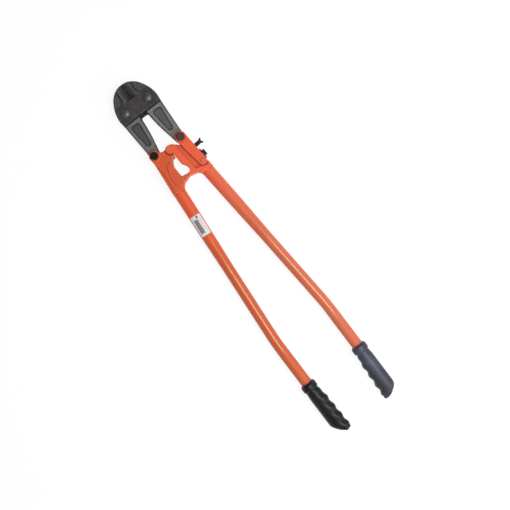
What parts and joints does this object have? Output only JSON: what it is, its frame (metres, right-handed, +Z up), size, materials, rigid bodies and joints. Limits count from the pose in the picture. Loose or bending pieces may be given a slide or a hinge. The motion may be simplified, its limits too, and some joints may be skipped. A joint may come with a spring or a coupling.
{
  "type": "bolt cutters",
  "caption": "Long-handled bolt cutters: bevelled jaws on link plates, forged yokes with a toggle joint and an adjusting arm, tube handles and moulded grips.",
  "frame": {"origin": "middle of the closed tool's outline, on the floor that it lies on", "axes": "+X across the tool to the side with the adjusting arm, +Y along it to the jaws, +Z up from the floor, along the pivots"},
  "size_m": [0.1771, 0.914, 0.0451],
  "materials": {
    "jaw_steel": "forged and blackened, satin",
    "head_steel": "blackened, satin",
    "black_fastener": "black oxide",
    "orange_paint": "gloss enamel over a casting",
    "black_grip": "moulded, satin",
    "blue_grey_grip": "moulded, satin"
  },
  "bodies": {
    "head": {"front_link_plate": "head_steel", "back_link_plate": "head_steel", "left_pivot_bolt": "black_fastener", "right_pivot_bolt": "black_fastener", "left_pivot_nut": "black_fastener", "right_pivot_nut": "black_fastener", "left_pivot_washer": "black_fastener", "right_pivot_washer": "black_fastener"},
    "left_jaw": {"left_jaw": "jaw_steel"},
    "right_jaw": {"right_jaw": "jaw_steel"},
    "left_handle": {"left_yoke": "orange_paint", "left_tube": "orange_paint", "left_grip": "black_grip", "left_hinge_bolt": "black_fastener", "left_hinge_nut": "black_fastener", "left_hinge_washer": "black_fastener"},
    "adjusting_arm": {"adjusting_arm": "orange_paint", "right_hinge_bolt": "black_fastener", "right_hinge_nut": "black_fastener", "right_hinge_washer": "black_fastener"},
    "right_handle": {"right_yoke": "orange_paint", "right_tube": "orange_paint", "right_grip": "blue_grey_grip", "centre_pivot_pin": "orange_paint", "arm_pin": "orange_paint", "lock_bolt": "black_fastener", "lock_washer": "black_fastener"},
    "adjusting_screw": {"adjusting_screw": "black_fastener"}
  },
  "joints": [
    {"name": "left_jaw_swing", "type": "hinge", "parent": "head", "child": "left_jaw", "pos_m": [-0.03, 0.3975, 0.0245], "axis": [0, 0, 1], "range_deg": [0, 7.7]},
    {"name": "right_jaw_swing", "type": "hinge", "parent": "head", "child": "right_jaw", "pos_m": [0.03, 0.3975, 0.0245], "axis": [0, 0, 1], "range_deg": [-7.7, 0]},
    {"name": "left_handle_swing", "type": "hinge", "parent": "left_jaw", "child": "left_handle", "pos_m": [-0.036, 0.283, 0.0245], "axis": [0, 0, 1], "range_deg": [-52, 0]},
    {"name": "right_arm_swing", "type": "hinge", "parent": "right_jaw", "child": "adjusting_arm", "pos_m": [0.036, 0.283, 0.0245], "axis": [0, 0, 1], "range_deg": [0, 52]},
    {"name": "arm_adjust", "type": "hinge", "parent": "adjusting_arm", "child": "right_handle", "pos_m": [0.0436, 0.2115, 0.0245], "axis": [0, 0, 1], "range_deg": [-0.47, 0.47]},
    {"name": "adjusting_screw_turn", "type": "hinge", "parent": "right_handle", "child": "adjusting_screw", "pos_m": [0.05061, 0.25, 0.0245], "axis": [0.9971, 0.0759, 0], "range_deg": [-90, 90]}
  ],
  "couplings": [
    {"joint": "left_jaw_swing", "follows": "left_handle_swing", "ratio": -0.1468},
    {"joint": "right_jaw_swing", "follows": "left_handle_swing", "ratio": 0.1468},
    {"joint": "right_arm_swing", "follows": "left_handle_swing", "ratio": -1},
    {"joint": "adjusting_screw_turn", "follows": "arm_adjust", "ratio": -191}
  ]
}
